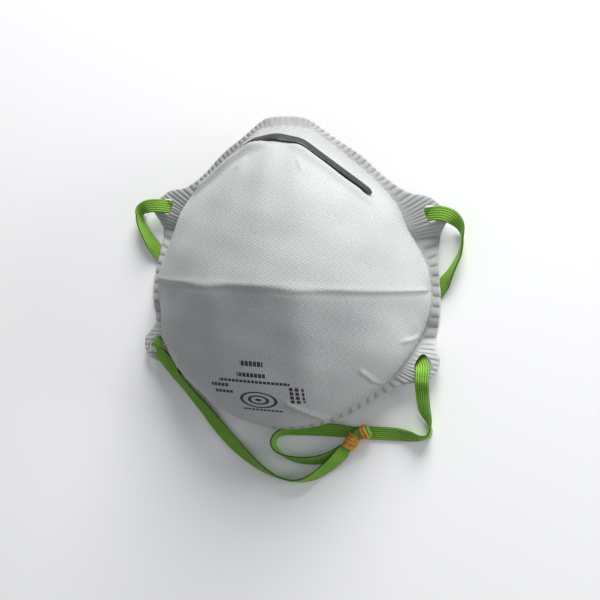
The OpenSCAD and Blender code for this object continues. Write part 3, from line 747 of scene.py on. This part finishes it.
# ------------------------------------------------------------------ rim
def rim_mesh():
    r = np.array(RIM_PTS, float)
    # closed control loop, right side then mirrored left side
    left = r[-2:0:-1] * [-1, 1, 1, 1]
    left[:, 3] = -left[:, 3]
    loop = np.vstack([r, left])
    n0 = len(loop)
    # s as an always growing number: right 0..24, left 24..48
    s = loop[:, 3].copy()
    s[len(r):] = 48 + s[len(r):]
    loop[:, 3] = s
    ext = np.vstack([loop[-2:] - [0, 0, 0, 48], loop, loop[:3] + [0, 0, 0, 48]])
    q = np.linspace(0, n0, 12 * n0, endpoint=False)
    dense = cr(ext, q + 2)
    # even out along the outer edge
    seg = np.linalg.norm(np.diff(np.vstack([dense, dense[:1]])[:, :3], axis=0), axis=1)
    acc = np.concatenate([[0], np.cumsum(seg)])
    total = acc[-1]
    n = 1900
    at = np.arange(n) / n * total
    q2 = np.interp(at, acc, np.concatenate([q, [n0]]))
    d = cr(ext, q2 + 2)
    out, s = d[:, :3], d[:, 3]
    s = np.where(s > 24, s - 48, s)
    s = np.where(s > 24, 24, s)
    b = base(s)
    # outward direction in plan, from the foot line
    ja = np.where(s >= -12, 12 - s, 12 - s)
    o = outward(np.mod(ja, 48))
    inner = b - o * (D_IN + 0.05)
    ear = np.zeros(n)
    for hx, hy in EAR_HOLES:
        for m in (-1, 1):
            ear = np.maximum(ear, np.exp(-(np.linalg.norm(out[:, :2] - [m * hx, hy], axis=1) / 11.0) ** 4))
    flat = np.exp(-(out[:, 0] / 12.0) ** 4) * (out[:, 1] > 60)
    # rib phase: wide ribs on the flanks, fine ones at the ears
    flank = smooth_soft(out[:, 1], 40, 50)
    pitch = 4.8 + (2.9 - 4.8) * flank
    pitch = pitch + (2.0 - pitch) * ear
    ph = np.cumsum((total / n) / pitch)
    ph = ph / ph[-1] * round(ph[-1])
    rib = (np.sin(np.pi * ph) ** 2 + 0.004) ** 0.32
    amp = (0.50 - 0.08 * ear - 0.06 * flank) * (1 - 0.88 * flat)
    us = np.array([0.0, 0.5, 1.0, 1.06, 1.15, 1.28, 1.42, 1.56, 1.70, 1.82, 1.91, 1.97, 2.0])
    top, bot, dip = [], [], []
    for u in us:
        if u <= 1:
            c = inner * (1 - u) + b * u
            a = 0.0
        else:
            f = u - 1
            c = b * (1 - f) + out * f
            a = smooth_soft(np.array(f), 0.04, 0.30) * (1 - 0.55 * smooth_soft(np.array(f), 0.8, 1.0))
        thick = RIM_T / 2 * (1.0 if u < 1.9 else (0.86 if u < 1.96 else (0.62 if u < 1.99 else 0.30)))
        lift = amp * a * (rib - 0.55)
        up = c.copy()
        dn = c.copy()
        if u >= 1.06:
            wob = 0.10 * np.sin(2 * np.pi * ph * 0.5 + 1.0) * a
        else:
            wob = 0.0
        up[:, 2] += thick * (1 - 0.10 * a) + lift + wob * 0.5
        dn[:, 2] -= thick * (1 - 0.10 * a) - 0.7 * lift * (c[:, 2] > 1.3)
        dn[:, 2] = np.maximum(dn[:, 2], 0.0)
        up[:, 2] = np.maximum(up[:, 2], dn[:, 2] + 0.18)
        if u > 1.5:
            # slight scallop of the cut edge
            e = o * (0.14 * (rib - 0.5) * (u - 1.5) * 2)[:, None]
            up += e
            dn += e
        top.append(up)
        bot.append(dn)
        dip.append(np.clip(1 - rib, 0, 1) * a * (1 - 0.8 * flat) * (1 - 0.4 * ear) if u >= 1.06 else np.zeros(n))
    prof = top + bot[::-1]
    m = len(prof)
    verts = np.stack(prof, 1).reshape(-1, 3)
    faces = []
    for i in range(n):
        i2 = (i + 1) % n
        for k in range(m):
            k2 = (k + 1) % m
            faces.append([i * m + k, i2 * m + k, i2 * m + k2, i * m + k2])
    ob = make("rim_skin", verts, faces, [m_rim])
    g = np.stack(dip + dip[::-1], 1).reshape(-1)
    for nm, val in (("groove", g),):
        at_ = ob.data.attributes.new(nm, "FLOAT", "POINT")
        at_.data.foreach_set("value", val.astype(np.float32))
    return ob


def round_triangle(cx, cy, ang, r, n=54):
    """Rounded triangle, mean radius r, one corner pointing along ang."""
    a = np.linspace(0, 2 * np.pi, n, endpoint=False)
    rr = r * (1 + 0.13 * np.cos(3 * (a - ang)) + 0.02 * np.cos(6 * (a - ang)))
    return np.stack([cx + rr * np.cos(a), cy + rr * np.sin(a)], 1)


def cutter(name, ring, z0, z1):
    n = len(ring)
    v = np.vstack([np.column_stack([ring, np.full(n, z0)]), np.column_stack([ring, np.full(n, z1)])])
    f = [list(range(n))[::-1], [n + i for i in range(n)]]
    f += [[i, (i + 1) % n, n + (i + 1) % n, n + i] for i in range(n)]
    return make(name, v, f, [m_rim], smooth=False)


rim = rim_mesh()
for q, (hx, hy) in enumerate(EAR_HOLES):
    for m in (-1, 1):
        ang = math.atan2(5.0 if hy > 0 else -5.0, m * 12.0)
        c = cutter("cut", round_triangle(m * (hx - 0.1), hy + (0.4 if hy > 0 else 0), ang, 3.85 if hy > 0 else 4.1), -2, 14)
        bo = rim.modifiers.new("hole", "BOOLEAN")
        bo.operation, bo.solver, bo.object = "DIFFERENCE", "EXACT", c
        bpy.context.view_layer.objects.active = rim
        bpy.ops.object.modifier_apply(modifier=bo.name)
        bpy.data.objects.remove(c, do_unlink=True)
rim.data.polygons.foreach_set("use_smooth", [True] * len(rim.data.polygons))
rim.data.set_sharp_from_angle(angle=math.radians(42))
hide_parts("crimped_rim")
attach(rim, "mask")


# ------------------------------------------------------------------ nose clip and foam
def strip_piece(name, av, w_mm, low, high, mats, section, twist=False):
    """A strip that follows the cup below the nose edge, rounded at both ends."""
    c, n, w = strip_frames(av)
    if twist:
        th = clip_twist(av)[:, None]
        c = c + n * (2.5 * np.sin(th))
        n, w = n * np.cos(th) - w * np.sin(th), w * np.cos(th) + n * np.sin(th)
    e = (1 - np.abs(av / np.abs(av).max())) * 50 * np.abs(av).max()
    f = np.where(e >= w_mm / 2, 1, np.sqrt(np.clip(1 - (1 - 2 * e / w_mm) ** 2, 0.02, 1)))
    sec = np.array([section(fi, w_mm, low, high) for fi in f])
    return sweep(name, c, w, n, sec, mats)


def clip_section(f, w, lo, hi):
    h = w / 2 * f
    mid = 0.22
    return [(-h, lo), (-h, hi - 0.45), (-h + 0.12, hi - 0.30), (-h + 0.35, hi - 0.24),
            (-0.25 * h, hi - 0.02), (mid, hi), (0.45 * h, hi - 0.10), (h - 0.30, hi - 0.30),
            (h - 0.08, hi - 0.42), (h, lo + 0.1), (h, lo), (0, lo)]


def ends_fine(n, lim=1.0):
    core = np.linspace(-0.93 * lim, 0.93 * lim, n)
    tip = lim - 0.07 * lim * (np.linspace(1, 0, 12)[1:]) ** 1.8
    return np.concatenate([-tip[::-1], core, tip])


clip = strip_piece("clip_strip", ends_fine(110), 5.0, 0.36, 1.18, [m_metal], clip_section, twist=True)
clip.data.set_sharp_from_angle(angle=math.radians(50))
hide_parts("nose_clip")
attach(clip, "mask")


def foam_section(f, w, lo, hi):
    h = w / 2 * f
    mid, ht = (lo + hi) / 2, (hi - lo) / 2
    r = min(1.2, h * 0.9)
    pts = []
    for q in range(4):
        sx_, sy_ = ((1, 1), (-1, 1), (-1, -1), (1, -1))[q]
        for a in np.radians(np.linspace(90 * q, 90 * q + 90, 5)):
            rr = r if sy_ < 0 else r * 0.35
            pts.append((sx_ * (h - r) + r * math.cos(a), mid + sy_ * (ht - rr) + rr * math.sin(a)))
    return pts


foam = strip_piece("foam_pad", ends_fine(90, 0.88), 9.0, -D_IN - 0.85 - 3.4, -D_IN - 0.80, [m_foam], foam_section)
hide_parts("nose_foam")
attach(foam, "mask")


# ------------------------------------------------------------------ elastic strap
def lay(p):
    a = math.radians(p[3])
    return p[2] if p[2] > 0 else STRAP_W / 2 * abs(math.sin(a)) + STRAP_T / 2 * abs(math.cos(a)) + 0.05


def rows(route, back=False):
    out = [[p[0], p[1], lay(p), p[3], p[4]] for p in route]
    if back:
        out = [[a, b, c, -d, e] for a, b, c, d, e in out[::-1]]
    return out


parts = [("neck_right", rows(NECK_RIGHT, True)), ("side_right", rows(SIDE_RIGHT, True)),
         ("head", rows(HEAD_ROUTE)), ("side_left", rows(SIDE_LEFT)), ("neck_left", rows(NECK_LEFT))]
chain, owner = [], []
for name, rr in parts:
    if chain:
        k = round((chain[-1][3] - rr[0][3]) / 180)
        rr = [[a, b, c, d + 180 * k, e * (-1) ** k] for a, b, c, d, e in rr]
    chain += rr
    owner += [name] * len(rr)
chain = np.array(chain)
owner = np.array(owner)
first = {name: int(np.argmax(owner == name)) for name, _ in parts}
STEP = 0.55
q = np.linspace(0, len(chain) - 1, 40 * len(chain))
dense = cr(chain, q)
acc = np.concatenate([[0], np.cumsum(np.linalg.norm(np.diff(dense[:, :3], axis=0), axis=1))])
n_all = int(acc[-1] / STEP)
at = np.linspace(0, acc[-1], n_all + 1)
qq = np.interp(at, acc, q)
path = cr(chain, qq)
path[:, 2] = np.maximum(path[:, 2], 0.6)
STRAP_LENGTH = float(acc[-1])
WHIPS = [np.array([35.0, -72.4, 3.9]), np.array([41.9, -67.15, 5.83])]

tan = unit(np.gradient(path[:, :3], axis=0))
side = unit(np.stack([-tan[:, 1], tan[:, 0], 0 * tan[:, 0]], 1))
upv = np.cross(tan, side)
ca, sa = np.cos(np.radians(path[:, 3]))[:, None], np.sin(np.radians(path[:, 3]))[:, None]
W = ca * side + sa * upv
V = ca * upv - sa * side
# narrower where the thread draws the two runs together, slightly uneven elsewhere
nip = np.zeros(len(path))
for c_, l_ in zip(WHIPS, (8.4, 3.4)):
    ends = (qq < first["side_right"] - 1) | (qq > first["neck_left"] + 4)
    nip = np.maximum(nip, ends * np.exp(-((np.linalg.norm(path[:, :3] - c_, axis=1) / (l_ * 0.72)) ** 4)))
width = STRAP_W * (1 - 0.30 * nip) * (1 + 0.012 * np.sin(at / 9.0) + 0.01 * np.sin(at / 3.7))
curl = 0.10 * np.sin(at / 23.0)
# keep the band above the plane that it lies on
LOBES = 6


def band_section(w, shift, cu):
    """Flat braid section: six rounded cords side by side."""
    x = np.linspace(-1, 1, 4 * LOBES + 1)
    lobe = np.abs(np.cos(np.pi * LOBES * (x + 1) / 2 + math.pi / 2))
    edge = np.clip((1 - np.abs(x)) / 0.10, 0, 1) ** 0.5
    h = STRAP_T / 2 * (0.42 + 0.28 * edge + 0.30 * lobe * edge)
    bow = cu * (x**2 - 0.4)
    topr = np.stack([x * w / 2, h + shift + bow], 1)
    botr = np.stack([x * w / 2, -h + shift + bow], 1)[::-1]
    return np.vstack([topr, botr])


def strap_piece(name, i0, i1):
    sl = slice(i0, i1 + 1)
    sec = np.array([band_section(width[i], path[i, 4], curl[i]) for i in range(i0, i1 + 1)])
    c, w, v = path[sl, :3], W[sl], V[sl]
    m = sec.shape[1]
    uv = np.stack([np.tile(sec[0][:, 0] * 0 + 0, (len(c), 1)), np.repeat(at[sl][:, None], m, 1)], 2)
    uv[..., 0] = sec[..., 0] * (STRAP_W / width[sl][:, None]) + STRAP_W / 2
    ob = sweep(name, c, w, v, sec, [m_elastic], uvs=uv.reshape(-1, 2))
    ob.data.set_sharp_from_angle(angle=math.radians(60))
    zmin = min(vv.co.z for vv in ob.data.vertices)
    if zmin < 0:
        for vv in ob.data.vertices:
            vv.co.z = max(vv.co.z, 0.00002)
    return ob


def index_at(name, row):
    """Station nearest to a row of the chain."""
    return int(np.argmin(np.abs(qq - (first[name] + row))))


cuts = {
    "nr": (0, index_at("neck_right", len(NECK_RIGHT) - 3)),
    "tr": (index_at("neck_right", len(NECK_RIGHT) - 3), index_at("side_right", 3)),
    "sr": (index_at("side_right", 3), index_at("side_right", len(SIDE_RIGHT) - 3)),
    "hr": (index_at("side_right", len(SIDE_RIGHT) - 3), index_at("head", 2)),
    "hd": (index_at("head", 2), index_at("head", len(HEAD_ROUTE) - 3)),
    "hl": (index_at("head", len(HEAD_ROUTE) - 3), index_at("side_left", 2)),
    "sl": (index_at("side_left", 2), index_at("side_left", len(SIDE_LEFT) - 4)),
    "tl": (index_at("side_left", len(SIDE_LEFT) - 4), index_at("neck_left", 3)),
    "nl": (index_at("neck_left", 3), len(path) - 1),
}
S = {k: strap_piece("elastic_" + k, *v) for k, v in cuts.items()}
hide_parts("neck_strap_right")
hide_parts("neck_strap_left")
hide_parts("side_strap_right")
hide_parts("side_strap_left")
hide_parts("head_strap")
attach(S["nr"], "neck_band")
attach(S["nl"], "neck_band")
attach(S["hd"], "head_band")
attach(S["sr"], "mask")
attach(S["sl"], "mask")


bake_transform(S["hr"])
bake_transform(S["hl"])
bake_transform(S["tr"])
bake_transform(S["tl"])


# ------------------------------------------------------------------ whippings
def whipping(name, centre, direction, tilt, length, turns, hw, hh, r, node):
    """Thread wound over the stacked runs: one long closed coil, slightly uneven."""
    d = unit(np.array(direction, float))
    s = unit(np.array([-d[1], d[0], 0.0]))
    u = np.cross(d, s)
    a = math.radians(tilt)
    w = math.cos(a) * s + math.sin(a) * u
    v = math.cos(a) * u - math.sin(a) * s
    n = int(turns * 40)
    th = np.linspace(0, 2 * np.pi * turns, n)
    k = 4.0
    rad = (np.abs(np.cos(th)) ** k + np.abs(np.sin(th)) ** k) ** (-1 / k)
    jit = 0.06 * np.sin(th * 0.37 + 1) + 0.05 * np.sin(th * 1.31)
    along = np.linspace(-length / 2 + r, length / 2 - r, n) + 0.10 * np.sin(th * 0.5 + 0.6)
    c = (np.asarray(centre)[None] + d[None] * along[:, None]
         + w[None] * ((hw + jit) * rad * np.cos(th))[:, None]
         + v[None] * ((hh + jit) * rad * np.sin(th))[:, None])
    t = unit(np.gradient(c, axis=0))
    e1 = unit(d[None] - t * (t @ d)[:, None])
    e2 = np.cross(t, e1)
    ph = np.linspace(0, 2 * np.pi, 10, endpoint=False)
    strand = 1 + 0.05 * np.sin(np.linspace(0, turns * 60, n))[:, None]
    sec = np.stack([np.cos(ph)[None] * r * 1.04 * strand, np.sin(ph)[None] * r * strand], 2)
    ob = sweep(name, c, e1, e2, sec, [m_thread])
    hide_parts(node)
    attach(ob, "neck_band")
    return ob


i_w = int(np.argmin(np.linalg.norm(path[-80:, :3] - WHIPS[0], axis=1))) + len(path) - 80
i_t = int(np.argmin(np.linalg.norm(path[-80:, :3] - WHIPS[1], axis=1))) + len(path) - 80
whip_dir = tan[i_w] * [1, 1, 0.6]
whip_dir = np.array([whip_dir[0] * math.cos(0.2) - whip_dir[1] * math.sin(0.2) * 1.0,
                     whip_dir[0] * math.sin(0.2) + whip_dir[1] * math.cos(0.2), whip_dir[2]])
whipping("whip_main", path[i_w, :3], whip_dir, 20, 8.4, 6.6, 2.6, 1.7, 0.60, "strap_whipping")
whipping("whip_tail", path[i_t, :3], tan[i_t], 20, 3.8, 3.0, 2.75, 1.6, 0.62, "tail_whipping")

# ------------------------------------------------------------------ carried-over nodes
for node, mat in (("filter_layer_outer", m_filter), ("filter_layer_inner", m_filter), ("support_shell", m_shell),
                  ("nose_clip_adhesive", m_glue), ("nose_foam_adhesive", m_glue)):
    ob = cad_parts[node]
    ob.data.materials.clear()
    ob.data.materials.append(mat)

# ------------------------------------------------------------------ floor, light, camera
M = Mat("backdrop")
co = M.coord()
nn = M.noise(co, 3.0, 2.0)
m_floor = M.set(color=M.ramp(nn, [(0.3, (0.93, 0.93, 0.93)), (0.7, (0.95, 0.95, 0.95))]), rough=0.9,
                spec=0.1)
bpy.ops.mesh.primitive_plane_add(size=6, location=(0, 0, 0))
floor = bpy.context.active_object
floor.name = "floor"
floor.data.materials.append(m_floor)


def area(name, direction, dist, size, energy, color=(1, 1, 1)):
    d = Vector(direction).normalized()
    lt = bpy.data.lights.new(name, "AREA")
    lt.shape, lt.size, lt.energy, lt.color = "DISK", size, energy, color
    ob = bpy.data.objects.new(name, lt)
    bpy.context.scene.collection.objects.link(ob)
    ob.location = Vector((0, 0, 0.02)) + d * dist
    ob.rotation_mode = "QUATERNION"
    ob.rotation_quaternion = (-d).to_track_quat("-Z", "Y")
    return ob


area("key", (0.22, 0.90, 0.38), 1.3, 0.80, 26.0, (1.0, 0.997, 0.99))
area("side", (0.95, 0.10, 0.22), 1.3, 0.60, 7.0, (0.99, 0.995, 1.0))
world = bpy.data.worlds.new("studio")
world.use_nodes = True
bg = world.node_tree.nodes["Background"]
bg.inputs[0].default_value = (0.93, 0.95, 1.0, 1)
bg.inputs[1].default_value = 0.36
bpy.context.scene.world = world
bpy.context.scene.view_settings.view_transform = "Standard"

# camera at the fitted viewpoint
a, b, c = (math.radians(v) for v in (19.89, -1.78, 2.90))
r0 = np.array([math.cos(a), -math.sin(a) * math.sin(b), -math.sin(a) * math.cos(b)])
w0 = np.array([0, math.cos(b), -math.sin(b)])
d0 = np.array([math.sin(a), math.cos(a) * math.sin(b), math.cos(a) * math.cos(b)])
rx = r0 * math.cos(c) + w0 * math.sin(c)
wx = -r0 * math.sin(c) + w0 * math.cos(c)
eye = np.array([0, 0, 15.0]) + d0 * 475.65
FOCAL = 475.65 * 2.15
ray = rx * (300 - 282.26) / FOCAL + wx * -(300 - 280.56) / FOCAL - d0
back = -ray / np.linalg.norm(ray)
right = rx - back * (rx @ back)
right /= np.linalg.norm(right)
upc = np.cross(back, right)
cam = bpy.data.cameras.new("camera")
cam.sensor_width = 36
cam.lens = FOCAL / 600 * 36
cam_ob = bpy.data.objects.new("camera", cam)
bpy.context.scene.collection.objects.link(cam_ob)
cam_ob.matrix_world = Matrix((
    (right[0], upc[0], back[0], eye[0] * MM),
    (right[1], upc[1], back[1], eye[1] * MM),
    (right[2], upc[2], back[2], eye[2] * MM),
    (0, 0, 0, 1)))
cam.clip_start, cam.clip_end = 0.01, 50
bpy.context.scene.camera = cam_ob

bpy.context.view_layer.update()
print("strap length mm", round(STRAP_LENGTH, 1),
      {k: round(float(at[v[1]] - at[v[0]]), 1) for k, v in cuts.items()})
